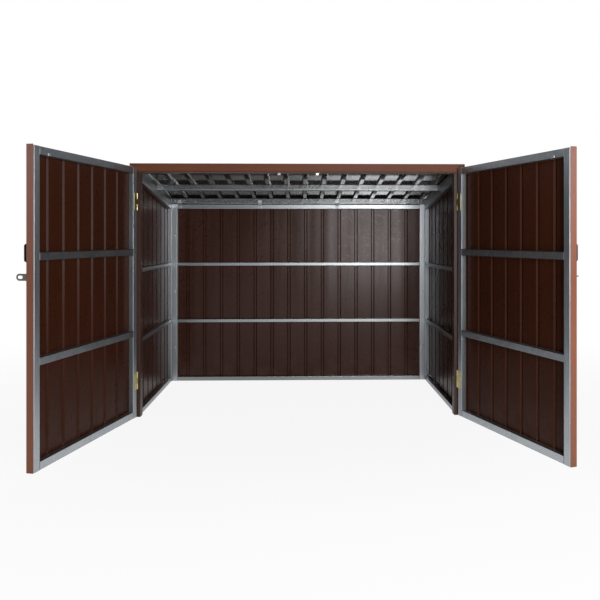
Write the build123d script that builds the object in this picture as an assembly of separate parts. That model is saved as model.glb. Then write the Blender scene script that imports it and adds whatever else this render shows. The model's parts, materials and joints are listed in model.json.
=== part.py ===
from build123d import *
from math import radians, tan
import os

# A steel bike shelter: tube frames clad in ribbed sheet, a roof falling to the back and two doors.
# Millimetres and degrees. X runs to the right, Y to the back and Z up.
# The origin is on the ground, under the middle of the back frame. The doors are modelled shut,
# then swung open to the angle at which they stand.

# Overall sizes
opening_width = 1872.0
frame_depth = 1004.0
front_height = 1450.0
roof_pitch = 7.75
verge_overhang = 15.1
rear_overhang = 32.0

# Frame tubes
tube_face = 40.0
tube_depth = 30.0
tube_wall = 1.5
tube_radius = 3.0
sill_height = 30.0
girt_height = 24.0
rail_height = 38.0
back_rail_height = 33.0
girt_height_shares = (0.34, 0.661)
mid_purlin_share = 0.506

# Ribbed sheet of the walls and doors
cladding = 0.6
rib_pitch = 126.3
rib_crest = 12.0
rib_web = 6.7
rib_depth = 8.0
back_first_rib = 14.9
side_first_rib = 100.9
door_first_rib = 132.8
wall_ground_gap = 3.0
wall_top_gap = 1.0

# Ribbed sheet of the roof
flute_pitch = 124.9
flute_floor = 24.0
flute_web = 8.0
flute_depth = 14.0
first_flute = 42.8
roof_edge_gap = 1.0
roof_front_gap = 1.2

# Folded flashings
flashing = 1.0
flashing_seat = 0.3
jamb_return = 52.0
jamb_gap = 8.0
corner_leg = 45.0
verge_top_leg = 50.0
fascia_top_leg = 60.0
fascia_lap = 0.5

# Doors
door_fascia_lap = 30.0
door_ground_gap = 6.0
door_gap = 5.5
door_sheet_lap = 2.5
edge_trim_top_lap = 5.5
door_jamb_lap = 6.0
meeting_gap = 5.0
edge_trim_leg = 70.0
edge_trim_inset = 5.0
door_rail_shares = (0.335, 0.6595)
left_open_angle = 103.85
right_open_angle = 108.8

# Hinges
hinge_gap = 8.5
hinge_offset = 11.0
hinge_length = 101.0
hinge_bottom_distance = 214.0
hinge_top_distance = 204.0
hinge_leaf = 2.0
hinge_leaf_width = 28.0
knuckle_radius = 5.5
hinge_pin_radius = 2.0
pin_clearance = 0.3

# Handles
handle_height = 104.0
handle_grip = 78.0
handle_standoff = 40.0
handle_foot = 16.0
handle_bar = 12.0
handle_width = 18.0
handle_round = 11.0
handle_edge = 2.5
handle_setback = 45.0
handle_level = 993.0

# Hasp and staple
hasp_level = 884.0
hasp_height = 32.0
hasp_sheet = 2.0
hasp_setback = 8.0
hasp_pin_height = 6.0
hasp_plate_length = 30.0
hasp_strap_length = 51.0
hasp_knuckle_radius = 4.5
hasp_pin_radius = 2.0
slot_length = 26.0
slot_height = 15.0
slot_end_wall = 7.0
staple_wire_radius = 2.5
staple_span = 12.0
staple_height = 19.0
staple_plate_length = 30.0

# Door catches under the front of the roof
catch_place = 114.0
catch_width = 16.0
catch_height = 12.5
catch_depth = 16.0
catch_plate_height = 12.0
catch_inset = 2.0

# One reach for every trimming block
overrun = 3000.0

# Places worked out from the sizes above
back_face = tube_depth / 2
front_face = back_face - frame_depth
jamb_x = opening_width / 2
side_inner = jamb_x + flashing + jamb_gap
side_outer = side_inner + tube_depth
post_front = front_face + flashing
rear_stile_front = back_face - tube_face
skin = cladding + rib_depth + flashing_seat
corner_x = side_outer + skin
corner_y = back_face + skin
roof_width = 2 * (corner_x + flashing + verge_overhang)
back_height = front_height - frame_depth * tan(radians(roof_pitch))
girt_levels = [share * back_height for share in girt_height_shares]

hinge_edge = -(jamb_x + door_jamb_lap)
pin_x = hinge_edge - hinge_offset
pin_y = front_face - hinge_gap
door_back = front_face - door_gap
door_front = door_back - tube_depth
trim_face = door_front - skin - flashing
door_top = front_height + door_fascia_lap
door_height = door_top - door_ground_gap
door_edge = -meeting_gap / 2
lock_stile_edge = door_edge - flashing

# The roof's own frame: X as before, Y down the slope to the back, Z square to the slope
slope = Plane((0, front_face, front_height)).rotated((-roof_pitch, 0, 0))


def block(x, y, z):
    """A solid between two limits on each axis."""
    size = [high - low for low, high in (x, y, z)]
    middle = [(low + high) / 2 for low, high in (x, y, z)]
    return Pos(*middle) * Box(*size)


def tube(x, y, z, along):
    """A hollow tube with rounded corners between two limits on each axis."""
    spans = {"X": x, "Y": y, "Z": z}
    directions = {"X": (1, 0, 0), "Y": (0, 1, 0), "Z": (0, 0, 1)}
    across = [axis for axis in "XYZ" if axis != along]
    middle = [sum(spans[axis]) / 2 for axis in "XYZ"]
    width, height = [spans[axis][1] - spans[axis][0] for axis in across]
    length = spans[along][1] - spans[along][0]
    section_plane = Plane(middle, x_dir=directions[across[0]], z_dir=directions[along])
    outside = RectangleRounded(width, height, tube_radius)
    inside = RectangleRounded(width - 2 * tube_wall, height - 2 * tube_wall, tube_radius - tube_wall)
    return extrude(section_plane * (outside - inside), amount=length / 2, both=True)


def ribbed_section(width, first, pitch, crest, web, depth):
    """A sheet's section from one edge: flats on the base line, with a rib at each pitch."""
    line = [(0, 0)]
    place = first
    while place + crest / 2 + web < width:
        line.append((place - crest / 2 - web, 0))
        line.append((place - crest / 2, depth))
        line.append((place + crest / 2, depth))
        line.append((place + crest / 2 + web, 0))
        place += pitch
    line.append((width, 0))
    far_side = [(along, height + cladding) for along, height in reversed(line)]
    return make_face(Polyline(*line, *far_side, close=True))


def wall_section(width, first):
    """Section of the sheet used on walls and doors."""
    return ribbed_section(width, first, rib_pitch, rib_crest, rib_web, rib_depth)


def below_slope(level):
    """Everything below a level measured square to the roof's slope."""
    return slope * block((-overrun, overrun), (-overrun, overrun), (level - overrun, level))


def mirrored(shape):
    """The same piece on the other side of the middle plane."""
    return mirror(shape, about=Plane.YZ)


def back_frame():
    """Stiles, rails and girts of the back wall."""
    y = (-tube_depth / 2, tube_depth / 2)
    stile = tube((side_inner - tube_face, side_inner), y, (0, back_height), "Z")
    between = (tube_face - side_inner, side_inner - tube_face)
    girts = []
    for level in girt_levels:
        girts.append(tube(between, y, (level - girt_height / 2, level + girt_height / 2), "X"))
    return {
        "back_stiles": [stile, mirrored(stile)],
        "back_top_rail": [tube(between, y, (back_height - back_rail_height, back_height), "X")],
        "back_bottom_rail": [tube(between, y, (0, sill_height), "X")],
        "back_girts": girts,
    }


def side_frame():
    """Front post, rear stile, rails and girts of the left wall."""
    x = (-side_outer, -side_inner)
    under_rail = below_slope(-tube_face)
    posts = []
    for start in (post_front, rear_stile_front):
        posts.append(tube(x, (start, start + tube_face), (0, front_height), "Z") & under_rail)
    between = (post_front + tube_face, rear_stile_front)
    sloping = slope * tube(x, (-tube_face, frame_depth + tube_face), (-tube_face, 0), "Y")
    frame_length = block((-overrun, overrun), (post_front, back_face), (0, overrun))
    girts = []
    for level in girt_levels:
        girts.append(tube(x, between, (level - girt_height / 2, level + girt_height / 2), "Y"))
    return {
        "side_stiles": posts,
        "side_top_rail": [sloping & frame_length],
        "side_bottom_rail": [tube(x, between, (0, sill_height), "Y")],
        "side_girts": girts,
    }


def roof_frame():
    """Two rafters with three purlins between them, lying on the walls."""
    rafter_length = frame_depth - rail_height * tan(radians(roof_pitch))
    rafter_span = (roof_front_gap, rafter_length)
    rafter = slope * tube((-side_outer, -side_inner), rafter_span, (0, rail_height), "Y")
    purlins = {}
    starts = {
        "roof_front_purlin": roof_front_gap,
        "roof_mid_purlin": mid_purlin_share * frame_depth - tube_depth / 2,
        "roof_rear_purlin": rafter_length - tube_depth,
    }
    for name, start in starts.items():
        y = (start, start + tube_depth)
        purlins[name] = [slope * tube((-side_inner, side_inner), y, (0, rail_height), "X")]
    return {"roof_rafters": [rafter, mirrored(rafter)], **purlins}


def wall_sheets():
    """Ribbed sheets on the outside of the back and side frames, trimmed under the roof sheet."""
    under_roof = below_slope(rail_height - wall_top_gap)
    sheet_height = front_height + rail_height
    back_plane = Plane((-side_outer, back_face, wall_ground_gap), x_dir=(1, 0, 0), z_dir=(0, 0, 1))
    back = extrude(back_plane * wall_section(2 * side_outer, back_first_rib), amount=sheet_height)
    side_plane = Plane((-side_outer, post_front, wall_ground_gap), x_dir=(0, 1, 0), z_dir=(0, 0, 1))
    side_length = back_face - post_front
    side = extrude(side_plane * wall_section(side_length, side_first_rib), amount=sheet_height)
    left = side & under_roof
    return {
        "back_sheet": [back & under_roof],
        "left_sheet": [left],
        "right_sheet": [mirrored(left)],
    }


def roof_sheet():
    """The roof's sheet: wide flats on top, narrow flutes standing on the purlins."""
    width = roof_width - 2 * (flashing + roof_edge_gap)
    length = frame_depth + skin + rear_overhang
    top = rail_height + flute_depth + cladding
    section = ribbed_section(width, first_flute, flute_pitch, flute_floor, flute_web, flute_depth)
    plane = Plane((-width / 2, roof_front_gap, top), x_dir=(1, 0, 0), z_dir=(0, 1, 0))
    return {"roof_sheet": [slope * extrude(plane * section, amount=length)]}


def roof_flashings():
    """The fascia across the front and the two verges down the sides."""
    length = frame_depth + skin + rear_overhang
    sheet_top = rail_height + flute_depth + cladding
    verge_under = sheet_top + flashing_seat
    verge_y = (roof_front_gap, length + roof_front_gap)
    edge = -roof_width / 2
    leg = block((edge, edge + flashing), verge_y, (0, verge_under + flashing))
    cap = block((edge, edge + verge_top_leg), verge_y, (verge_under, verge_under + flashing))
    verge = slope * (leg + cap)
    fascia_x = (-roof_width / 2, roof_width / 2)
    fascia_under = verge_under + flashing + flashing_seat
    fascia_top = fascia_under + flashing
    face = block(fascia_x, (front_face, post_front), (front_height + fascia_lap, overrun))
    lid = slope * block(fascia_x, (-tube_face, fascia_top_leg), (fascia_under, fascia_top))
    ahead = block((-overrun, overrun), (-overrun, front_face), (0, overrun))
    fascia = (face & below_slope(fascia_top)) + (lid - ahead)
    return {"front_fascia": [fascia], "verge_trims": [verge, mirrored(verge)]}


def jamb_trim():
    """Folded flashing round the left front post: a return inside, a face and a leg outside."""
    z = (0, front_height)
    inner = block((-jamb_x - flashing, -jamb_x), (front_face, front_face + jamb_return), z)
    face = block((-corner_x - flashing, -jamb_x), (front_face, post_front), z)
    outer = block((-corner_x - flashing, -corner_x), (front_face, front_face + corner_leg), z)
    return (inner + face + outer) & below_slope(0)


def rear_corner_trim():
    """Folded flashing over the left rear corner."""
    z = (0, front_height)
    edge = (-corner_x - flashing, -corner_x - flashing + corner_leg)
    back = block(edge, (corner_y, corner_y + flashing), z)
    side_y = (corner_y + flashing - corner_leg, corner_y + flashing)
    side = block((-corner_x - flashing, -corner_x), side_y, z)
    return (back + side) & below_slope(rail_height - wall_top_gap)


def hinge_levels():
    """Middle heights of the two hinges on each door."""
    return (door_ground_gap + hinge_bottom_distance, door_top - hinge_top_distance)


def knuckle(low, high, radius):
    """One barrel of a hinge on the left door's pin."""
    return Pos(pin_x, pin_y, (low + high) / 2) * Cylinder(radius, high - low)


def frame_hinge_leaf(level):
    """The hinge half on the left jamb: a flat leaf, end knuckles on their roots and the pin."""
    low = level - hinge_length / 2
    high = level + hinge_length / 2
    third = hinge_length / 3
    y = (front_face - hinge_leaf, front_face)
    leaf = block((pin_x - hinge_leaf_width, pin_x), y, (low, high))
    middle = block((pin_x - knuckle_radius - pin_clearance, pin_x), y,
                   (low + third - pin_clearance, high - third + pin_clearance))
    ends = knuckle(low, high, hinge_pin_radius)
    for end in ((low, low + third - pin_clearance), (high - third + pin_clearance, high)):
        ends += knuckle(*end, knuckle_radius)
        ends += block((pin_x - knuckle_radius, pin_x), (pin_y, front_face), end)
    return leaf - middle + ends


def door_hinge_leaf(level):
    """The hinge half on the shut left door: a flat leaf on the stile and the middle knuckle."""
    low = level - hinge_length / 2
    high = level + hinge_length / 2
    third = hinge_length / 3
    y = (door_back, door_back + hinge_leaf)
    leaf = block((hinge_edge, hinge_edge + hinge_leaf_width), y, (low, high))
    neck = block((pin_x, hinge_edge), y, (low + third, high - third))
    bore = knuckle(low, high, hinge_pin_radius + pin_clearance)
    return leaf + (neck + knuckle(low + third, high - third, knuckle_radius) - bore)


def door_frame():
    """Stiles and rails of the shut left door."""
    y = (door_front, door_back)
    z = (door_ground_gap, door_top)
    hinge_stile = tube((hinge_edge, hinge_edge + tube_face), y, z, "Z")
    lock_stile = tube((lock_stile_edge - tube_face, lock_stile_edge), y, z, "Z")
    between = (hinge_edge + tube_face, lock_stile_edge - tube_face)
    rails = [
        tube(between, y, (door_ground_gap, door_ground_gap + tube_face), "X"),
        tube(between, y, (door_top - tube_face, door_top), "X"),
    ]
    for share in door_rail_shares:
        level = door_ground_gap + share * door_height
        rails.append(tube(between, y, (level - rail_height / 2, level + rail_height / 2), "X"))
    return {"stiles": [hinge_stile, lock_stile], "rails": rails}


def door_sheet():
    """Ribbed sheet on the outside of the shut left door, lapping past the frame's top and bottom."""
    width = lock_stile_edge - hinge_edge
    low = door_ground_gap - door_sheet_lap
    plane = Plane((lock_stile_edge, door_front, low), x_dir=(-1, 0, 0), z_dir=(0, 0, 1))
    section = wall_section(width, door_first_rib)
    return extrude(plane * section, amount=door_height + 2 * door_sheet_lap)


def door_edge_trim():
    """Folded flashing on the left door's meeting edge, over the stile and the sheet."""
    z = (door_ground_gap - door_sheet_lap, door_top + edge_trim_top_lap)
    edge = block((lock_stile_edge, door_edge), (trim_face, door_back - edge_trim_inset), z)
    face = block((door_edge - edge_trim_leg, door_edge), (trim_face, trim_face + flashing), z)
    hem_x = (door_edge - edge_trim_leg, door_edge - edge_trim_leg + flashing)
    hem = block(hem_x, (trim_face, door_front - cladding - flashing_seat), z)
    return edge + face + hem


def bow_handle():
    """A bow handle on the left door's edge trim."""
    middle = (door_edge - handle_setback, trim_face, handle_level)
    plane = Plane(middle, x_dir=(0, -1, 0), z_dir=(-1, 0, 0))
    high, grip = handle_height / 2, handle_grip / 2
    outline = Polyline((0, -high), (handle_standoff, -grip), (handle_standoff, grip), (0, high), close=True)
    inner_high = high - handle_foot
    inner_grip = grip - handle_bar / 2
    inner_reach = handle_standoff - handle_bar
    gap = Polyline((0, -inner_high), (inner_reach, -inner_grip), (inner_reach, inner_grip),
                   (0, inner_high), close=True)
    bow = extrude(plane * (make_face(outline) - make_face(gap)), amount=handle_width / 2, both=True)
    bow = fillet(bow.edges().filter_by(Axis.X).sort_by(Axis.Y)[:2], handle_round)
    sides = bow.faces().filter_by(Axis.X).edges()
    return fillet([edge for edge in sides if edge.center().Y < trim_face - handle_edge], handle_edge)


def hasp_pin(low, high, radius):
    """A cylinder on the hasp's own pin, on the shut left door."""
    x = door_edge - hasp_setback
    return Pos(x, trim_face - hasp_pin_height, (low + high) / 2) * Cylinder(radius, high - low)


def hasp_plate():
    """The hasp's fixed plate with its end knuckles and pin."""
    low = hasp_level - hasp_height / 2
    high = hasp_level + hasp_height / 2
    third = hasp_height / 3
    x = door_edge - hasp_setback
    y = (trim_face - hasp_sheet, trim_face)
    plate = block((x - hasp_plate_length, x), y, (low, high))
    room = hasp_pin(low + third - pin_clearance, high - third + pin_clearance,
                    hasp_knuckle_radius + pin_clearance)
    ends = hasp_pin(low, low + third - pin_clearance, hasp_knuckle_radius)
    ends += hasp_pin(high - third + pin_clearance, high, hasp_knuckle_radius)
    return plate - room + ends + hasp_pin(low, high, hasp_pin_radius)


def hasp_strap():
    """The hasp's slotted strap with a round end, standing square out from the shut left door."""
    low = hasp_level - hasp_height / 2
    high = hasp_level + hasp_height / 2
    third = hasp_height / 3
    x = door_edge - hasp_setback
    root = trim_face - hasp_pin_height
    tip = root - hasp_strap_length
    sheet_x = (x - hasp_sheet / 2, x + hasp_sheet / 2)
    shoulder = root - hasp_knuckle_radius - pin_clearance
    end_radius = hasp_height / 2
    round_end = Plane((x, tip + end_radius, hasp_level), x_dir=(0, 1, 0), z_dir=(1, 0, 0))
    strap = round_end * Cylinder(end_radius, hasp_sheet)
    strap += block(sheet_x, (tip + end_radius, shoulder), (low, high))
    strap += block(sheet_x, (shoulder, root), (low + third, high - third))
    slot_middle = (x, tip + slot_end_wall + slot_length / 2, hasp_level)
    slot_plane = Plane(slot_middle, x_dir=(0, 1, 0), z_dir=(1, 0, 0))
    slot = extrude(slot_plane * SlotOverall(slot_length, slot_height), amount=hasp_sheet, both=True)
    barrel = hasp_pin(low + third, high - third, hasp_knuckle_radius)
    bore = hasp_pin(low, high, hasp_pin_radius + pin_clearance)
    return strap - slot + barrel - bore


def staple():
    """The staple that the hasp's slot drops over, drawn on the left door for mirroring."""
    reach = hasp_strap_length - slot_end_wall - slot_length / 2 - hasp_setback
    x = door_edge - (reach - meeting_gap)
    face = trim_face - hasp_sheet
    crown = face - staple_height
    low = hasp_level - hasp_height / 2
    plate_x = (x - staple_plate_length / 2, x + staple_plate_length / 2)
    plate = block(plate_x, (face, trim_face), (low, low + hasp_height))
    left_leg = (x - staple_span / 2, face, hasp_level)
    left_bend = (x - staple_span / 2, crown, hasp_level)
    right_bend = (x + staple_span / 2, crown, hasp_level)
    right_leg = (x + staple_span / 2, face, hasp_level)
    path = FilletPolyline(left_leg, left_bend, right_bend, right_leg, radius=staple_span / 3)
    ring = Plane(left_leg, x_dir=(1, 0, 0), z_dir=(0, -1, 0)) * Circle(staple_wire_radius)
    return plate + sweep(ring, path)


def roof_catch():
    """A catch block under the front purlin."""
    x = (-catch_place - catch_width / 2, -catch_place + catch_width / 2)
    y = (front_face + catch_inset, front_face + catch_inset + catch_depth)
    body = block(x, y, (front_height - catch_height, front_height + catch_height))
    return body & below_slope(0)


def catch_plate():
    """The striking plate on the shut left door's top rail, in front of its catch."""
    x = (-catch_place - catch_width / 2, -catch_place + catch_width / 2)
    z = (front_height - catch_plate_height * 2 / 3, front_height + catch_plate_height / 3)
    return block(x, (door_back, door_back + hasp_sheet), z)


def shut_door():
    """Every piece that both doors share, shut, on the left."""
    pieces = door_frame()
    pieces["sheet"] = [door_sheet()]
    pieces["edge_trim"] = [door_edge_trim()]
    pieces["hinge_leaves"] = [door_hinge_leaf(level) for level in hinge_levels()]
    pieces["handle"] = [bow_handle()]
    pieces["catch_plate"] = [catch_plate()]
    return pieces


def swung(shapes, angle, pin):
    """Pieces turned about a door's upright pin."""
    return [shape.rotate(Axis(pin, (0, 0, 1)), angle) for shape in shapes]


def left_door():
    """The left door and its hasp, open."""
    pieces = {"left_door_" + name: shapes for name, shapes in shut_door().items()}
    pieces["hasp_plate"] = [hasp_plate()]
    pieces["hasp_strap"] = [hasp_strap()]
    pin = (pin_x, pin_y, 0)
    return {name: swung(shapes, -left_open_angle, pin) for name, shapes in pieces.items()}


def right_door():
    """The right door and its staple, open."""
    pieces = {"right_door_" + name: shapes for name, shapes in shut_door().items()}
    pieces["hasp_staple"] = [staple()]
    pin = (-pin_x, pin_y, 0)
    turned = {}
    for name, shapes in pieces.items():
        turned[name] = swung([mirrored(shape) for shape in shapes], right_open_angle, pin)
    return turned


def shelter():
    """All nodes of the shelter, each a list of solids."""
    nodes = {}
    nodes.update(back_frame())
    for name, shapes in side_frame().items():
        nodes["left_" + name] = shapes
        nodes["right_" + name] = [mirrored(shape) for shape in shapes]
    nodes.update(roof_frame())
    nodes.update(wall_sheets())
    nodes.update(roof_sheet())
    nodes.update(roof_flashings())
    nodes["left_jamb_trim"] = [jamb_trim()]
    nodes["right_jamb_trim"] = [mirrored(jamb_trim())]
    nodes["rear_corner_trims"] = [rear_corner_trim(), mirrored(rear_corner_trim())]
    leaves = [frame_hinge_leaf(level) for level in hinge_levels()]
    nodes["frame_hinge_leaves"] = leaves + [mirrored(leaf) for leaf in leaves]
    nodes["door_catches"] = [roof_catch(), mirrored(roof_catch())]
    nodes.update(left_door())
    nodes.update(right_door())
    return nodes


os.makedirs("parts", exist_ok=True)
for node, shapes in shelter().items():
    solids = [solid for shape in shapes for solid in shape.solids()]
    piece = solids[0] if len(solids) == 1 else Compound(solids)
    piece.label = node
    export_step(piece, f"parts/{node}.step")
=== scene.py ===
import json
from math import radians, tan

import bmesh
import bpy
from mathutils import Matrix, Vector


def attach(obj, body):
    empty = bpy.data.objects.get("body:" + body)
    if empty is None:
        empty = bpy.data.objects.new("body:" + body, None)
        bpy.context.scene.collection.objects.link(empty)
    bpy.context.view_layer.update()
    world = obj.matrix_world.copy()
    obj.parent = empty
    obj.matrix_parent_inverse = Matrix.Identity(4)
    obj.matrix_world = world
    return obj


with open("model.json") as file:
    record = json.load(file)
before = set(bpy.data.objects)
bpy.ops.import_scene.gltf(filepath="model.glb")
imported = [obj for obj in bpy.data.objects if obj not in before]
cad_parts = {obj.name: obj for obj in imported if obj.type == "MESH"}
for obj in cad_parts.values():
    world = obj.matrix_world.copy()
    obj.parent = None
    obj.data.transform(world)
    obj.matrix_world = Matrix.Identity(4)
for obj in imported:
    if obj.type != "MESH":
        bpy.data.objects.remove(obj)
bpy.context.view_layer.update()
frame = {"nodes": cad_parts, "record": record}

nodes = frame["nodes"]
scene = bpy.context.scene

# Places of the walls that the fittings follow, in metres, as in the solids
FRONT, BACK = -0.989, 0.015
FRONT_TOP = 1.450
PITCH = radians(7.75)
JAMB, SIDE_IN, SIDE_OUT = 0.936, 0.945, 0.975
CORNER_OUT, CORNER_BACK = 0.9849, 0.0249
BACK_INSIDE = -0.015
TUBE_FACE = 0.040
SHEET = 0.0006
PLATE = 0.002
SILL_MID, GIRTS, RAIL_MID = 0.015, (0.4465, 0.8681), 1.2969
RIB_PITCH, BACK_RIBS, SIDE_RIBS, DOOR_RIBS = 0.1263, 16, 8, 7
BACK_RIB, SIDE_RIB, DOOR_RIB = 0.0149, 0.1009, 0.1328
SIDE_SHEET_FRONT = FRONT + 0.001

# Places of the roof, measured along and square to its slope
FLUTE_PITCH, FIRST_FLUTE, FLUTES = 0.1249, 0.0428, 16
FLUTE_FLOOR, FLUTE_WEB, FLUTE_DEPTH = 0.024, 0.008, 0.014
ROOF_EDGE, RAFTER_TOP, RAFTER_MID = 0.998, 0.038, 0.019
MID_PURLIN, REAR_PURLIN = 0.508, 0.984
PURLIN_FACES = (0.4930, 0.96883)
LID_TOP, VERGE_TOP = 0.0552, 0.0539

# Places of the left door when shut; the right door mirrors them
PIN_X, PIN_Y = 0.953, -0.9975
LEFT_OPEN, RIGHT_OPEN = radians(-103.85), radians(108.8)
DOOR_BACK, DOOR_FRONT, TRIM_FACE = -0.9945, -1.0245, -1.0344
DOOR_EDGE, LOCK_EDGE, HINGE_EDGE = -0.0025, -0.0035, -0.942
DOOR_RAILS = (0.026, 0.4998, 0.9781, 1.460)
HINGES = (0.220, 1.276)
HASP = 0.884
STRIKE_X, STRIKE_LEVEL = -0.114, 1.448
DOORS = ((-1, "left_door"), (1, "right_door"))

TO_RIGHT, TO_LEFT, TO_BACK, TO_FRONT, UP = (1, 0, 0), (-1, 0, 0), (0, 1, 0), (0, -1, 0), (0, 0, 1)
FLOAT, COLOUR, VECTOR = "NodeSocketFloat", "NodeSocketColor", "NodeSocketVector"

on_slope = Matrix.Translation((0, FRONT, FRONT_TOP)) @ Matrix.Rotation(-PITCH, 4, "X")


# Node helpers

def add(tree, kind, **settings):
    node = tree.nodes.new(kind)
    for name, value in settings.items():
        setattr(node, name, value)
    return node


def feed(tree, socket, value):
    """Set a socket to a number or a tuple, or link another socket to it."""
    if isinstance(value, (int, float)):
        socket.default_value = value
    elif isinstance(value, tuple):
        socket.default_value = (*value, 1.0) if len(socket.default_value) == 4 else value
    else:
        tree.links.new(value, socket)


def fill(tree, node, values):
    for name, value in values.items():
        feed(tree, node.inputs[name], value)
    return node.outputs


def math_node(tree, operation, a, b=0.0, clamp=False):
    node = add(tree, "ShaderNodeMath", operation=operation, use_clamp=clamp)
    return fill(tree, node, {0: a, 1: b})[0]


def weigh(tree, a, share_a, b, share_b):
    return math_node(tree, "ADD", math_node(tree, "MULTIPLY", a, share_a),
                     math_node(tree, "MULTIPLY", b, share_b))


def remap(tree, value, low, high, to_low, to_high):
    values = {"Value": value, "From Min": low, "From Max": high}
    values.update({"To Min": to_low, "To Max": to_high})
    return fill(tree, add(tree, "ShaderNodeMapRange"), values)["Result"]


def mix_colour(tree, factor, a, b):
    return fill(tree, add(tree, "ShaderNodeMix", data_type="RGBA"), {0: factor, 6: a, 7: b})[2]


def mix_shader(tree, factor, a, b):
    return fill(tree, add(tree, "ShaderNodeMixShader"), {0: factor, 1: a, 2: b})["Shader"]


def axis(tree, vector, letter):
    return fill(tree, add(tree, "ShaderNodeSeparateXYZ"), {"Vector": vector})[letter]


def facing_up(tree):
    return axis(tree, add(tree, "ShaderNodeNewGeometry").outputs["Normal"], "Z")


def times(tree, vector, factor):
    node = add(tree, "ShaderNodeVectorMath", operation="SCALE")
    return fill(tree, node, {0: vector, "Scale": factor})["Vector"]


def noise(tree, place, scale, detail=3.0, rough=0.55):
    values = {"Vector": place, "Scale": scale, "Detail": detail, "Roughness": rough}
    return fill(tree, add(tree, "ShaderNodeTexNoise"), values)["Fac"]


def stretched(tree, place, turn, stretch):
    values = {"Vector": place, "Rotation": turn, "Scale": stretch}
    return fill(tree, add(tree, "ShaderNodeMapping"), values)["Vector"]


def seen_or_mirrored(tree, mirror_share):
    """1 for what the camera sees, and the given share for what metal or glass mirrors."""
    path = add(tree, "ShaderNodeLightPath").outputs
    mirrored = math_node(tree, "MAXIMUM", path["Is Glossy Ray"], path["Is Transmission Ray"])
    return math_node(tree, "MAXIMUM", path["Is Camera Ray"],
                     math_node(tree, "MULTIPLY", mirrored, mirror_share))


def group(name, inputs, outputs):
    tree = bpy.data.node_groups.new(name, "ShaderNodeTree")
    for label, kind, value in inputs:
        item = tree.interface.new_socket(label, in_out="INPUT", socket_type=kind)
        item.default_value = value
    for label, kind in outputs:
        tree.interface.new_socket(label, in_out="OUTPUT", socket_type=kind)
    return tree, add(tree, "NodeGroupInput").outputs, add(tree, "NodeGroupOutput")


# Shared effects

def make_rolled_zinc():
    """Rolled zinc: long streaks along the tube, slow clouds and a faint field of crystals."""
    tree, given, leave = group(
        "rolled_zinc",
        [("Place", VECTOR, (0, 0, 0)), ("Turn", VECTOR, (0, 0, 0)),
         ("Stretch", VECTOR, (40, 40, 2)), ("Contrast", FLOAT, 0.5)],
        [("Shade", FLOAT), ("Frost", FLOAT)],
    )
    streak = noise(tree, stretched(tree, given["Place"], given["Turn"], given["Stretch"]), 1.0, 5.0)
    cloud = noise(tree, given["Place"], 7.0, 4.0)
    cells = add(tree, "ShaderNodeTexVoronoi", feature="F1")
    cells = fill(tree, cells, {"Vector": given["Place"], "Scale": 170.0})
    crystal = fill(tree, add(tree, "ShaderNodeSeparateColor"), {"Color": cells["Color"]})
    shade = weigh(tree, weigh(tree, streak, 0.9, cloud, 0.7), 1.0, crystal[0], 0.16)
    mean_shade = 0.88
    swing = math_node(tree, "SUBTRACT", shade, mean_shade)
    swing = math_node(tree, "MULTIPLY", swing, given["Contrast"])
    fill(tree, leave, {"Shade": math_node(tree, "ADD", swing, 0.5, True),
                       "Frost": weigh(tree, streak, 0.8, crystal[1], 0.2)})
    return tree


def make_ground_dust():
    """Dust thrown up from the ground: heavier low down, broken by noise."""
    tree, given, leave = group(
        "ground_dust",
        [("Place", VECTOR, (0, 0, 0)), ("Reach", FLOAT, 0.5), ("Amount", FLOAT, 0.4)],
        [("Mask", FLOAT)],
    )
    low = remap(tree, axis(tree, given["Place"], "Z"), 0.0, given["Reach"], 1.0, 0.0)
    speckle = remap(tree, noise(tree, given["Place"], 14.0, 6.0, 0.65), 0.42, 0.68, 0.0, 1.0)
    low = math_node(tree, "MULTIPLY", low, given["Amount"])
    fill(tree, leave, {"Mask": math_node(tree, "MULTIPLY", low, speckle, True)})
    return tree


def make_coil_coat():
    """Rolled and coated sheet: slow changes of tone, faint drag marks, long shallow waves, fine
    orange peel and small smoother specks."""
    tree, given, leave = group(
        "coil_coat",
        [("Place", VECTOR, (0, 0, 0)), ("Stretch", VECTOR, (30, 30, 1.2)),
         ("Colour", COLOUR, (0.1, 0.04, 0.03, 1)), ("Drift", FLOAT, 0.2), ("Waves", FLOAT, 0.003)],
        [("Colour", COLOUR), ("Relief", FLOAT), ("Tone", FLOAT)],
    )
    place, still = given["Place"], (0, 0, 0)
    drag = noise(tree, stretched(tree, place, still, given["Stretch"]), 1.0, 4.0)
    tone = weigh(tree, drag, 0.45, noise(tree, place, 2.2, 3.0), 0.55)
    swing = remap(tree, tone, 0.3, 0.7, math_node(tree, "SUBTRACT", 1.0, given["Drift"]),
                  math_node(tree, "ADD", 1.0, given["Drift"]))
    wave_stretch = times(tree, given["Stretch"], 0.25)
    waves = noise(tree, stretched(tree, place, still, wave_stretch), 1.0, 1.0)
    relief = math_node(tree, "MULTIPLY", waves, given["Waves"])
    for scale, height in ((60.0, 0.00010), (900.0, 0.000006)):
        relief = weigh(tree, relief, 1.0, noise(tree, place, scale, 2.0), height)
    speck = remap(tree, noise(tree, place, 45.0, 4.0, 0.6), 0.56, 0.70, 0.0, 0.35)
    fill(tree, leave, {"Colour": times(tree, given["Colour"], swing), "Relief": relief,
                       "Tone": math_node(tree, "SUBTRACT", tone, speck)})
    return tree


rolled_zinc, ground_dust, coil_coat = make_rolled_zinc(), make_ground_dust(), make_coil_coat()


# Materials

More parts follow.
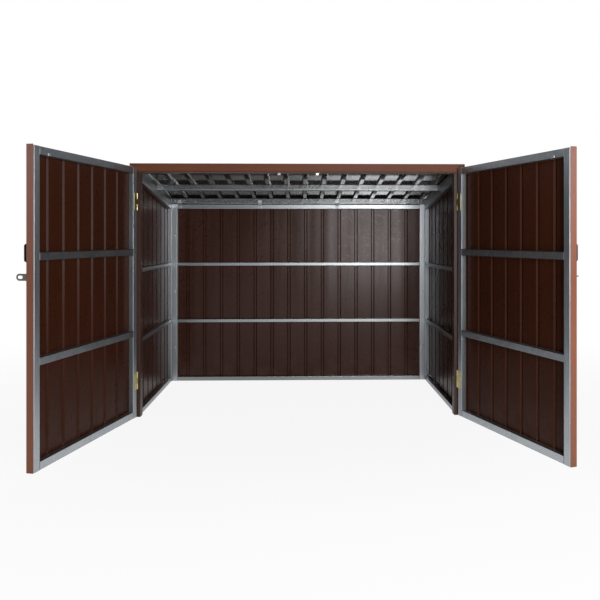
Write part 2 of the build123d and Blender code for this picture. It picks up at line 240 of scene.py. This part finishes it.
ZINC_UP, ZINC_ACROSS, ZINC_DEEP = (45.0, 45.0, 2.0), (2.0, 45.0, 45.0), (45.0, 2.0, 45.0)
COAT_UP, COAT_ACROSS, COAT_DEEP = (30.0, 30.0, 1.2), (1.2, 30.0, 30.0), (30.0, 1.2, 30.0)
TUBE_DUST, SHEET_DUST = (0.34, 0.32, 0.29), (0.16, 0.12, 0.09)
# The first colour is the painted shade on the door tubes' rounded edges; the second is the painted
# shadow on the fascia's lower edge.
EDGE_SHADE_COLOUR, EDGE_SHADOW_COLOUR = (0.02, 0.02, 0.022), (0.012, 0.007, 0.005)


def new_material(name):
    material = bpy.data.materials.new(name)
    material.use_nodes = True
    tree = material.node_tree
    tree.nodes.clear()
    shader = add(tree, "ShaderNodeBsdfPrincipled")
    fill(tree, add(tree, "ShaderNodeOutputMaterial"), {"Surface": shader.outputs["BSDF"]})
    return material, tree, shader, add(tree, "ShaderNodeTexCoord").outputs["Object"]


def use(tree, effect, place, **values):
    return fill(tree, add(tree, "ShaderNodeGroup", node_tree=effect), {"Place": place, **values})


def bump(tree, height, strength, distance):
    values = {"Strength": strength, "Distance": distance, "Height": height}
    return fill(tree, add(tree, "ShaderNodeBump"), values)["Normal"]


def galvanised(name, dark, light, rough, contrast=0.6, turn=0.0, stretch=ZINC_UP, metal=0.90,
               edge_shade=0.0):
    """Galvanised steel; a dark line of painted shade can be laid on the tubes' rounded edges,
    between upright and level.
    """
    material, tree, shader, place = new_material(name)
    zinc = use(tree, rolled_zinc, place, Turn=(0.0, 0.0, turn), Stretch=stretch, Contrast=contrast)
    dust = use(tree, ground_dust, place, Reach=0.30, Amount=0.35)
    colour = mix_colour(tree, zinc["Shade"], dark, light)
    if edge_shade:
        # painted shade: the rounded edges between upright and level are darkened, as the top
        # corners mirror the dark room and the bottom ones the shaded floor
        tilt = math_node(tree, "ABSOLUTE", facing_up(tree))
        edge = math_node(tree, "MULTIPLY", remap(tree, tilt, 0.05, 0.25, 0.0, edge_shade),
                         remap(tree, tilt, 0.95, 0.99, 1.0, 0.0))
        colour = mix_colour(tree, edge, colour, EDGE_SHADE_COLOUR)
    fill(tree, shader, {"Base Color": mix_colour(tree, dust["Mask"], colour, TUBE_DUST),
                        "Roughness": remap(tree, zinc["Frost"], 0.3, 0.7, *rough),
                        "Metallic": metal, "Normal": bump(tree, zinc["Frost"], 0.05, 0.0006)})
    return material


def coated(name, colour, drift, rough, shine, stretch=COAT_UP, under=None, waves=0.0030, shadow_level=None,
           tint=(1.0, 1.0, 1.0), highlit_colour=None):
    """Coated sheet. under: colour of the side facing down; highlit_colour: lighter colour reached
    high up, a painted highlight;
    shadow_level: level of a lower edge, below which the sheet is darkened by painted shadow."""
    material, tree, shader, place = new_material(name)
    coat = use(tree, coil_coat, place, Colour=colour, Drift=drift, Stretch=stretch, Waves=waves)
    dust = use(tree, ground_dust, place, Reach=0.25, Amount=0.25)
    paint = coat["Colour"]
    if under:
        backing = use(tree, coil_coat, place, Colour=under, Drift=drift, Stretch=stretch)
        below = remap(tree, facing_up(tree), -0.05, 0.05, 1.0, 0.0)
        paint = mix_colour(tree, below, paint, backing["Colour"])
    if highlit_colour:
        # painted highlight: the colour grows lighter towards the top, between 0.85 m and 1.45 m up
        highlight_mask = remap(tree, axis(tree, place, "Z"), 0.85, 1.45, 0.0, 0.55)
        paint = mix_colour(tree, highlight_mask, paint, highlit_colour)
    # painted shadow: from 14 mm above the given level downward, the sheet darkens to near black
    # along its lower edge
    if shadow_level:
        shadowed = remap(tree, axis(tree, place, "Z"), shadow_level, shadow_level + 0.014, 0.75, 0.0)
        paint = mix_colour(tree, shadowed, paint, EDGE_SHADOW_COLOUR)
    fill(tree, shader, {"Base Color": mix_colour(tree, dust["Mask"], paint, SHEET_DUST),
                        "Roughness": remap(tree, coat["Tone"], 0.3, 0.7, *rough),
                        "Specular IOR Level": shine, "Specular Tint": tint,
                        "Normal": bump(tree, coat["Relief"], 1.0, 1.0)})
    return material


def hinge_brass():
    material, tree, shader, place = new_material("hinge_brass")
    patch = noise(tree, place, 120.0, 4.0)
    polish = remap(tree, patch, 0.35, 0.7, 0.0, 1.0)
    colour = mix_colour(tree, polish, (0.60, 0.51, 0.22), (0.80, 0.71, 0.38))
    fill(tree, shader, {"Base Color": colour, "Metallic": 1.0,
                        "Roughness": remap(tree, patch, 0.3, 0.7, 0.26, 0.40),
                        "Normal": bump(tree, noise(tree, place, 700.0, 2.0), 0.06, 0.0003)})
    return material


def handle_black():
    material, tree, shader, place = new_material("handle_black")
    pebble = noise(tree, place, 1400.0, 2.0)
    worn = remap(tree, noise(tree, place, 60.0, 3.0), 0.45, 0.75, 0.0, 1.0)
    colour = mix_colour(tree, worn, (0.006, 0.006, 0.007), (0.014, 0.0135, 0.0135))
    fill(tree, shader, {"Base Color": colour, "Roughness": remap(tree, pebble, 0.3, 0.7, 0.5, 0.66),
                        "Specular IOR Level": 0.2, "Normal": bump(tree, pebble, 0.25, 0.0004)})
    return material


def filler_foam():
    material, tree, shader, place = new_material("foam_black")
    cells = noise(tree, place, 500.0, 2.0)
    colour = mix_colour(tree, cells, (0.006, 0.006, 0.006), (0.016, 0.015, 0.014))
    fill(tree, shader, {"Base Color": colour, "Roughness": remap(tree, cells, 0.3, 0.7, 0.85, 1.0),
                        "Specular IOR Level": 0.1, "Normal": bump(tree, cells, 0.5, 0.001)})
    return material


# One galvanised steel in several copies: each turns its streaks along its run of tube, and their
# different brightness is painted light and shade for how the key lamp falls on each run.
zinc_rough = (0.30, 0.41)
tube_up = galvanised("tube_up", (0.38, 0.405, 0.43), (0.60, 0.63, 0.66), zinc_rough)
tube_across = galvanised("tube_across", (0.26, 0.275, 0.285), (0.385, 0.40, 0.41), zinc_rough,
                         stretch=ZINC_ACROSS)
tube_deep = galvanised("tube_deep", (0.29, 0.31, 0.325), (0.43, 0.45, 0.465), zinc_rough,
                       stretch=ZINC_DEEP)
purlin_zinc = galvanised("purlin_zinc", (0.37, 0.39, 0.40), (0.56, 0.58, 0.59), (0.23, 0.35),
                         stretch=ZINC_ACROSS)
door_dark, door_light, door_contrast = (0.27, 0.295, 0.325), (0.57, 0.60, 0.63), 0.9
door_stile = galvanised("door_stile", door_dark, door_light, zinc_rough, door_contrast, metal=0.75)
# The door rails get a dark line of painted shade along their rounded edges.
left_rail, right_rail = (
    galvanised(name, door_dark, door_light, zinc_rough, door_contrast, turn=-opened,
               stretch=ZINC_ACROSS, edge_shade=0.9)
    for name, opened in (("left_rail", LEFT_OPEN), ("right_rail", RIGHT_OPEN))
)
plated = galvanised("plated", (0.60, 0.60, 0.58), (0.80, 0.80, 0.78), (0.22, 0.36), 0.8)
bracket_zinc = galvanised("bracket_zinc", (0.34, 0.355, 0.365), (0.56, 0.575, 0.585), (0.40, 0.52),
                          contrast=1.0)
dull_steel = galvanised("dull_steel", (0.15, 0.145, 0.14), (0.30, 0.29, 0.28), (0.35, 0.5), 0.8)
weld_grey = galvanised("weld_grey", (0.20, 0.21, 0.22), (0.32, 0.33, 0.34), (0.45, 0.6), 1.0)

red_brown, dark_brown = (0.335, 0.122, 0.071), (0.055, 0.0165, 0.0085)
trim_rough, slight_waves = (0.45, 0.56), 0.0003
sheet_brown = coated("sheet_brown", dark_brown, 0.16, (0.22, 0.34), 0.24, waves=0.0045)
wing_brown = coated("wing_brown", (0.057, 0.0165, 0.0080), 0.16, (0.26, 0.34), 0.065)
# The jambs are a darker, greyer brown than the other trims: the flashing's own colour, darkened
# further with painted shade for the open doors' shadow on them.
jamb_brown = coated("jamb_brown", (0.070, 0.036, 0.029), 0.12, (0.34, 0.44), 0.20,
                    waves=slight_waves)
roof_brown = coated("roof_brown", dark_brown, 0.16, (0.10, 0.16), 0.08, COAT_DEEP,
                    under=(0.042, 0.032, 0.024), waves=slight_waves, tint=(1.0, 0.91, 0.80))
trim_brown = coated("trim_brown", red_brown, 0.10, trim_rough, 0.30, waves=slight_waves)
# The doors' edge trims lighten towards the top, a painted highlight.
edge_brown = coated("edge_brown", red_brown, 0.10, trim_rough, 0.30, waves=slight_waves,
                    highlit_colour=(0.47, 0.26, 0.23))
# The fascia is the trims' red-brown darkened as painted shade for the weaker light it gets, with
# painted shadow along its lower edge.
fascia_brown = coated("fascia_brown", (0.196, 0.069, 0.037), 0.10, trim_rough, 0.15, COAT_ACROSS,
                      waves=slight_waves, shadow_level=1.4505)
brass = hinge_brass()

slot_materials = {"tube": tube_up, "sheet": sheet_brown, "trim": trim_brown, "hinge": brass,
                  "handle": handle_black(), "hasp": plated}
node_materials = {"roof_sheet": roof_brown, "front_fascia": fascia_brown, "roof_rafters": tube_deep,
                  "left_door_rails": left_rail, "right_door_rails": right_rail}
for names, material in (
    (("hasp_strap", "hasp_plate", "hasp_staple"), dull_steel),
    (("back_top_rail", "back_bottom_rail", "back_girts"), tube_across),
    (("roof_front_purlin", "roof_mid_purlin", "roof_rear_purlin"), purlin_zinc),
):
    node_materials.update({name: material for name in names})
for side in ("left", "right"):
    for name, material in (
        ("jamb_trim", jamb_brown), ("sheet", wing_brown), ("door_sheet", wing_brown),
        ("door_stiles", door_stile), ("door_edge_trim", edge_brown), ("side_top_rail", tube_deep),
        ("side_bottom_rail", tube_deep), ("side_girts", tube_deep),
    ):
        node_materials[f"{side}_{name}"] = material
for part in frame["record"]["subparts"]:
    mesh = nodes[part["node"]].data
    mesh.materials.clear()
    mesh.materials.append(node_materials.get(part["node"], slot_materials[part["material_slot"]]))


# Fittings: shapes

def to_mesh(name, made):
    mesh = bpy.data.meshes.new(name)
    made.to_mesh(mesh)
    made.free()
    return mesh


def head(name, rings):
    """A screw or bolt head: discs, each raised through (inset, rise) steps from its foot."""
    made = bmesh.new()
    for sides, radius, foot, steps in rings:
        disc = bmesh.ops.create_circle(made, cap_ends=True, radius=radius, segments=sides,
                                       matrix=Matrix.Translation((0, 0, foot)))
        cap = disc["verts"][0].link_faces[0]
        cap.normal_update()
        if cap.normal.z < 0:
            bmesh.ops.reverse_faces(made, faces=[cap])
        for inset, rise in steps:
            bmesh.ops.inset_individual(made, faces=[cap], thickness=inset, depth=rise,
                                       use_even_offset=True)
    return to_mesh(name, made)


sheet_screw = head("sheet_screw", [
    (14, 0.0064, 0.0, [(0.0002, 0.0010), (0.0014, 0.0006)]),
    (6, 0.0044, 0.0012, [(0.0001, 0.0034), (0.0007, 0.0005)]),
])
pan_screw = head("pan_screw", [
    (12, 0.0042, 0.0, [(0.0003, 0.0007), (0.0012, 0.0009), (0.0012, 0.0003), (0.0006, -0.0007)]),
])
flush_screw = head("flush_screw", [
    (12, 0.0038, 0.0, [(0.0004, 0.0003), (0.0016, 0.0001), (0.0004, -0.0005)]),
])
frame_bolt = head("frame_bolt", [
    (16, 0.0090, 0.0, [(0.0002, 0.0012), (0.0006, 0.0003)]),
    (6, 0.0068, 0.0014, [(0.0001, 0.0044), (0.0010, 0.0006)]),
])


def round_corners(made, corners, radius):
    bmesh.ops.bevel(made, geom=corners, offset=radius, affect="VERTICES", segments=3, profile=0.5,
                    material=-1)


def stand_up(made):
    quarter = Matrix.Rotation(radians(90.0), 3, "X")
    bmesh.ops.rotate(made, cent=(0, 0, 0), matrix=quarter, verts=made.verts)


def thicken(made, sheet):
    bmesh.ops.recalc_face_normals(made, faces=made.faces)
    bmesh.ops.solidify(made, geom=made.faces[:], thickness=sheet)
    bmesh.ops.recalc_face_normals(made, faces=made.faces)


def purlin_angle(arm, height, sheet, corner):
    """A folded angle: both arms from the fold line, one along -X and one along -Y."""
    made = bmesh.new()
    bmesh.ops.create_grid(made, x_segments=2, y_segments=1, size=1.0)
    bmesh.ops.scale(made, vec=(arm, height / 2, 1.0), verts=made.verts)
    far = [vert for vert in made.verts if vert.co.x > arm / 2]
    ends = [vert for vert in made.verts if abs(vert.co.x) > arm / 2]
    fold = Matrix.Rotation(radians(90.0), 3, "Y")
    bmesh.ops.rotate(made, cent=(0, 0, 0), matrix=fold, verts=far)
    round_corners(made, ends, corner)
    stand_up(made)
    thicken(made, sheet)
    return to_mesh("purlin_angle", made)


def rail_clamp(width, height, step, sheet, corner):
    """A strap cranked forward by a step in its middle third."""
    made = bmesh.new()
    bmesh.ops.create_grid(made, x_segments=1, y_segments=3, size=1.0)
    bmesh.ops.scale(made, vec=(width / 2, height / 2, 1.0), verts=made.verts)
    stand_up(made)
    upper = [vert for vert in made.verts if vert.co.z > 0]
    bmesh.ops.translate(made, vec=(0.0, -step, 0.0), verts=upper)
    ends = [vert for vert in made.verts if abs(vert.co.z) > height / 3]
    round_corners(made, ends, corner)
    thicken(made, sheet)
    return to_mesh("rail_clamp", made)


def weld_bead(name, length, radius, rings=10):
    """A rippled bead along Z, thinner at its ends."""
    made = bmesh.new()
    bmesh.ops.create_cone(made, cap_ends=True, segments=6, radius1=radius, radius2=radius,
                          depth=length)
    sides = [edge for edge in made.edges
             if abs(edge.verts[0].co.z - edge.verts[1].co.z) > length / 2]
    bmesh.ops.subdivide_edges(made, edges=sides, cuts=rings - 1)
    for vert in made.verts:
        ring = round((vert.co.z / length + 0.5) * rings)
        swell = 0.55 if ring in (0, rings) else 1.0 if ring % 2 else 0.8
        bmesh.ops.scale(made, vec=(swell, swell, 1.0), verts=[vert])
    return to_mesh(name, made)


# Fittings: setting down

HEAD_TURN = 0.7


def piece(name, body, material, made):
    mesh = to_mesh(name, made)
    mesh.materials.append(material)
    obj = bpy.data.objects.new(name, mesh)
    scene.collection.objects.link(obj)
    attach(obj, body)


def gather(shape, stands):
    """Copies of a shape, one set down by each matrix."""
    made = bmesh.new()
    for stand in stands:
        first = len(made.verts)
        made.from_mesh(shape)
        made.verts.ensure_lookup_table()
        bmesh.ops.transform(made, matrix=stand, verts=made.verts[first:])
    return made


def placed(name, body, material, shape, stands):
    """One piece of copies of a shape; a matrix may mirror, so the faces are turned outward."""
    made = gather(shape, stands)
    bmesh.ops.recalc_face_normals(made, faces=made.faces)
    piece(name, body, material, made)


def stamped(name, body, material, shape, spots):
    """One piece of heads, each at its (place, outward direction) and turned on from the last."""
    stands = []
    for number, (place, out) in enumerate(spots):
        lean = Vector(out).to_track_quat("Z", "Y").to_matrix().to_4x4()
        twist = Matrix.Rotation(HEAD_TURN * number, 4, "Z")
        stands.append(Matrix.Translation(place) @ lean @ twist)
    piece(name, body, material, gather(shape, stands))


def both_sides(spots):
    return spots + [((-x, y, z), (-a, b, c)) for (x, y, z), (a, b, c) in spots]


def swung(spots, side):
    """Spots on the shut left door, taken to the open left (-1) or right (1) door."""
    pin = Vector((side * PIN_X, PIN_Y, 0.0))
    turn = Matrix.Rotation(LEFT_OPEN if side < 0 else RIGHT_OPEN, 3, "Z")
    moved = []
    for (x, y, z), (a, b, c) in spots:
        place, out = Vector((-side * x, y, z)), Vector((-side * a, b, c))
        moved.append((pin + turn @ (place - pin), turn @ out))
    return moved


def sloped(spots):
    return [(on_slope @ Vector(place), on_slope.to_3x3() @ Vector(out)) for place, out in spots]


def wall_top(y):
    return FRONT_TOP - (y - FRONT) * tan(PITCH)


def every_other_flat(ribs):
    """Distances from the first rib to the middle of every other flat between ribs."""
    return [RIB_PITCH * (k + 0.5) for k in range(0, ribs - 1, 2)]


# Fittings: pieces

def wall_screws():
    columns = [BACK_RIB - SIDE_OUT + along for along in every_other_flat(BACK_RIBS)]
    levels = (SILL_MID, *GIRTS, RAIL_MID)
    back = [((x, BACK + SHEET, z), TO_BACK) for x in columns for z in levels]
    side = []
    for along in every_other_flat(SIDE_RIBS):
        y = SIDE_SHEET_FRONT + SIDE_RIB + along
        for z in (SILL_MID, *GIRTS, wall_top(y) - TUBE_FACE / 2):
            side.append(((SIDE_OUT + SHEET, y, z), TO_RIGHT))
    stamped("wall_screws", "shelter", sheet_brown, sheet_screw, back + both_sides(side))


def roof_screws():
    flutes = [FIRST_FLUTE - ROOF_EDGE + FLUTE_PITCH * k for k in range(0, FLUTES, 2)]
    spots = [((x, y, RAFTER_TOP + SHEET), UP) for x in flutes for y in (MID_PURLIN, REAR_PURLIN)]
    stamped("roof_screws", "shelter", sheet_brown, sheet_screw, sloped(spots))


def flashing_screws():
    lid_line, verge_line, corner_inset, corner_line = 0.044, 0.968, 0.030, -0.006
    inner_line, outer_line = FRONT + 0.026, FRONT + 0.022
    lid_places = (-0.9, -0.65, -0.4, -0.15, 0.1, 0.35, 0.6, 0.85)
    lid = [((x, lid_line, LID_TOP), UP) for x in lid_places]
    verge = [((verge_line, y, VERGE_TOP), UP) for y in (0.15, 0.40, 0.65, 0.90)]
    corner = []
    for z in (0.12, 0.42, 0.72, 1.02, 1.28):
        corner.append(((CORNER_OUT - corner_inset, CORNER_BACK, z), TO_BACK))
        corner.append(((CORNER_OUT, corner_line, z), TO_RIGHT))
    spots = sloped(lid + both_sides(verge)) + both_sides(corner)
    stamped("flashing_screws", "shelter", trim_brown, pan_screw, spots)
    inner = [((JAMB, inner_line, z), TO_LEFT) for z in (0.22, 0.573, 0.91, 1.28)]
    outer_levels = (0.12, 0.45, 0.78, 1.10, 1.38)
    outer = [((CORNER_OUT, outer_line, z), TO_RIGHT) for z in outer_levels]
    stamped("jamb_screws", "shelter", plated, pan_screw, both_sides(inner + outer))


def frame_bolts():
    stile = [((SIDE_IN - TUBE_FACE / 2, BACK_INSIDE, z), TO_FRONT) for z in (0.25, 0.665, 1.08)]
    stamped("frame_bolts", "shelter", plated, frame_bolt, both_sides(stile))


def purlin_brackets():
    """Folded angles with bolts where the mid and rear purlins meet the rafters."""
    sheet, reach = 0.0025, 0.027
    angle = purlin_angle(arm=0.042, height=0.032, sheet=sheet, corner=0.004)
    stands, bolts = [], []
    for y in PURLIN_FACES:
        for side in (-1, 1):
            flip = Matrix.Identity(4) if side > 0 else Matrix.Scale(-1, 4, (1, 0, 0))
            corner = Matrix.Translation((side * SIDE_IN, y, RAFTER_MID))
            stands.append(on_slope @ corner @ flip)
            bolts.append(((side * (SIDE_IN - reach), y - sheet, RAFTER_MID), TO_FRONT))
            bolts.append(((side * (SIDE_IN - sheet), y - reach, RAFTER_MID), (-side, 0, 0)))
    placed("purlin_angles", "shelter", bracket_zinc, angle, stands)
    stamped("purlin_bolts", "shelter", bracket_zinc, frame_bolt, sloped(bolts))


def roof_fillers():
    """Foam fillers between the flutes, which shut the roof sheet's flats on the rear purlin."""
    gap, depth = 0.0002, 0.024
    low, high = RAFTER_TOP + gap, RAFTER_TOP + FLUTE_DEPTH - gap
    middle = (low + high) / 2
    foot_width = FLUTE_PITCH - FLUTE_FLOOR - 4 * gap
    made = bmesh.new()
    for k in range(FLUTES - 1):
        centre = FIRST_FLUTE - ROOF_EDGE + FLUTE_PITCH * (k + 0.5)
        bar = bmesh.ops.create_cube(made, size=1.0)["verts"]
        bmesh.ops.scale(made, vec=(foot_width, depth, high - low), verts=bar)
        bmesh.ops.translate(made, vec=(centre, REAR_PURLIN, middle), verts=bar)
        foot = [vert for vert in bar if vert.co.z < middle]
        top = [vert for vert in bar if vert not in foot]
        for verts, narrower in ((foot, 0.0005), (top, 2 * FLUTE_WEB)):
            bmesh.ops.scale(made, vec=(1.0 - narrower / foot_width, 1.0, 1.0), verts=verts,
                            space=Matrix.Translation((-centre, 0, 0)))
    bmesh.ops.transform(made, matrix=on_slope, verts=made.verts)
    bmesh.ops.bevel(made, geom=made.edges[:], offset=0.0008, affect="EDGES", segments=1,
                    profile=0.5, material=-1)
    piece("roof_fillers", "shelter", filler_foam(), made)


def rail_clamps():
    """Cranked straps holding the rear purlin down on the back wall's top rail."""
    clamp = rail_clamp(width=0.028, height=0.062, step=0.0155, sheet=0.002, corner=0.004)
    places, level, bolt_level = (-0.885, -0.291, 0.284), 1.3135, 1.2918
    stands = [Matrix.Translation((x, BACK_INSIDE - 0.0015, level)) for x in places]
    placed("rail_clamps", "shelter", bracket_zinc, clamp, stands)
    bolts = [((x, BACK_INSIDE - 0.0025, bolt_level), TO_FRONT) for x in places]
    stamped("clamp_bolts", "shelter", bracket_zinc, frame_bolt, bolts)


def welds():
    """Beads on the seen faces of the tube joints."""
    short, tall = weld_bead("girt_weld", 0.020, 0.0016), weld_bead("rail_weld", 0.032, 0.0014)
    girts = []
    for side in (-1, 1):
        for z in (SILL_MID, *GIRTS, RAIL_MID):
            girts.append((side * (SIDE_IN - TUBE_FACE), BACK_INSIDE, z))
        for z in (SILL_MID, *GIRTS):
            girts.append((side * SIDE_IN, FRONT + 0.041, z))
            girts.append((side * SIDE_IN, BACK_INSIDE - 0.010, z))
    stands = [Matrix.Translation(spot) for spot in girts]
    placed("girt_welds", "shelter", weld_grey, short, stands)
    joints = []
    for z in DOOR_RAILS:
        joints.append(((HINGE_EDGE + TUBE_FACE, DOOR_BACK, z), UP))
        joints.append(((LOCK_EDGE - TUBE_FACE, DOOR_BACK, z), UP))
    for side, body in DOORS:
        stands = [Matrix.Translation(spot) for spot, out in swung(joints, side)]
        placed(f"{body}_welds", body, weld_grey, tall, stands)


def leaf_spots(near, far, place_x, face, out):
    """Screws of each hinge's leaf: two far from its middle and two near, in two columns."""
    spots = []
    for level in HINGES:
        for away, reach in ((near, 0.036), (far, 0.013)):
            for z in (level - reach, level + reach):
                spots.append(((place_x + away, face, z), out))
    return spots


def door_fittings():
    """Screws of the sheets, edge trims, hinges, catch plates and hasp on both doors."""
    columns = [LOCK_EDGE - DOOR_RIB - along for along in every_other_flat(DOOR_RIBS)]
    columns.append(HINGE_EDGE + TUBE_FACE / 2)
    sheet = [((x, DOOR_FRONT - SHEET, z), TO_FRONT) for x in columns for z in DOOR_RAILS]
    edge_line, face_line, hasp_line = DOOR_FRONT + 0.010, DOOR_EDGE - 0.058, DOOR_EDGE - 0.026
    edge = [((DOOR_EDGE, edge_line, z), TO_RIGHT) for z in (0.06, 0.42, 0.758, 1.084, 1.465)]
    face = [((face_line, TRIM_FACE, z), TO_FRONT) for z in (0.08, 0.40, 0.72, 1.12, 1.42)]
    leaf = leaf_spots(0.009, 0.019, HINGE_EDGE, DOOR_BACK + PLATE, TO_BACK)
    strike = [((STRIKE_X, DOOR_BACK + PLATE, STRIKE_LEVEL), TO_BACK)]
    for side, body in DOORS:
        stamped(f"{body}_sheet_screws", body, sheet_brown, sheet_screw, swung(sheet, side))
        stamped(f"{body}_edge_screws", body, trim_brown, flush_screw, swung(edge, side))
        stamped(f"{body}_trim_screws", body, trim_brown, pan_screw, swung(face, side))
        stamped(f"{body}_hinge_screws", body, brass, flush_screw, swung(leaf, side))
        stamped(f"{body}_strike_screw", body, plated, flush_screw, swung(strike, side))
    plate_face = TRIM_FACE - PLATE
    hasp = [((hasp_line, plate_face, HASP + z), TO_FRONT) for z in (-0.009, 0.009)]
    stamped("hasp_screws", "left_door", dull_steel, flush_screw, swung(hasp, -1))
    staple = [((x, plate_face, HASP + z), TO_FRONT)
              for x in (-0.0095, -0.0315) for z in (-0.011, 0.011)]
    stamped("staple_screws", "right_door", dull_steel, flush_screw, swung(staple, 1))


def frame_hinge_screws():
    spots = leaf_spots(0.011, 0.021, PIN_X, FRONT - PLATE, TO_FRONT)
    stamped("frame_hinge_screws", "shelter", brass, flush_screw, both_sides(spots))


# Studio

def studio_floor():
    """Pale paper that the camera sees white, a little greyer near the shelter."""
    made = bmesh.new()
    bmesh.ops.create_grid(made, x_segments=1, y_segments=1, size=14.0)
    mesh = to_mesh("studio_floor", made)
    plane = bpy.data.objects.new("studio_floor", mesh)
    scene.collection.objects.link(plane)
    material, tree, shader, place = new_material("floor_paper")
    grain = noise(tree, place, 3.0, 3.0)
    colour = mix_colour(tree, grain, (0.86, 0.86, 0.86), (0.90, 0.90, 0.90))
    fill(tree, shader, {"Base Color": colour, "Roughness": 0.9, "Specular IOR Level": 0.1})
    under_roof = (0.0, -0.45, 0.0)
    away = add(tree, "ShaderNodeVectorMath", operation="DISTANCE")
    away = fill(tree, away, {0: place, 1: under_roof})["Value"]
    # painted shade: in what metal mirrors, the floor's glow drops to about half under the roof,
    # standing in for the shelter's shadow on the floor there
    roofed = remap(tree, away, 0.6, 1.5, 0.52, 1.0)
    paper = remap(tree, away, 1.2, 3.6, 0.90, 1.0)
    white = math_node(tree, "MULTIPLY", seen_or_mirrored(tree, roofed), paper)
    glow = add(tree, "ShaderNodeEmission").outputs["Emission"]
    out = next(node for node in tree.nodes if node.type == "OUTPUT_MATERIAL")
    fill(tree, out, {"Surface": mix_shader(tree, white, shader.outputs["BSDF"], glow)})
    mesh.materials.append(material)


def surroundings():
    """A white backdrop behind the shelter in a dim room; the camera sees white all round."""
    world = bpy.data.worlds.new("studio")
    scene.world = world
    world.use_nodes = True
    tree = world.node_tree
    tree.nodes.clear()
    heading = add(tree, "ShaderNodeTexCoord").outputs["Generated"]
    height, depth = axis(tree, heading, "Z"), axis(tree, heading, "Y")
    dim = remap(tree, height, 0.10, 0.50, 0.15, 0.08)
    behind = math_node(tree, "ADD", remap(tree, depth, 0.20, 0.60, 0.0, 0.12),
                       remap(tree, depth, 0.90, 0.985, 0.0, 0.88))
    room = fill(tree, add(tree, "ShaderNodeBackground"),
                {"Color": (0.80, 0.93, 1.0), "Strength": dim})["Background"]
    paper = fill(tree, add(tree, "ShaderNodeBackground"), {"Color": (1.0, 1.0, 1.0)})["Background"]
    blend = mix_shader(tree, seen_or_mirrored(tree, behind), room, paper)
    fill(tree, add(tree, "ShaderNodeOutputWorld"), {"Surface": blend})


def lamp(name, place, target, width, height, power):
    data = bpy.data.lights.new(name, "AREA")
    data.shape = "RECTANGLE"
    data.size, data.size_y = width, height
    data.energy = power
    made = bpy.data.objects.new(name, data)
    made.location = place
    made.rotation_euler = (Vector(target) - Vector(place)).to_track_quat("-Z", "Y").to_euler()
    scene.collection.objects.link(made)


def camera():
    """The photo's camera, fitted to the edges of the frames and doors."""
    data = bpy.data.cameras.new("photo_camera")
    data.sensor_width = 36.0
    data.lens = 38.77
    data.shift_x, data.shift_y = -0.0287, -0.1026
    data.clip_end = 100.0
    made = bpy.data.objects.new("photo_camera", data)
    made.location = (0.02408, FRONT - 3.85734, 1.05951)
    made.rotation_euler = (radians(90.0), 0.0, radians(-1.33))
    scene.collection.objects.link(made)
    scene.camera = made


wall_screws()
roof_screws()
flashing_screws()
frame_bolts()
purlin_brackets()
roof_fillers()
rail_clamps()
welds()
door_fittings()
frame_hinge_screws()
studio_floor()
surroundings()
lamp("key", (1.05, -4.7, 1.40), (0.1, -0.6, 1.0), width=1.1, height=1.8, power=79.0)
lamp("rear_fill", (-1.6, 4.4, 3.2), (0.0, 0.0, 0.8), width=2.5, height=2.5, power=110.0)
camera()
scene.view_settings.view_transform = "Standard"
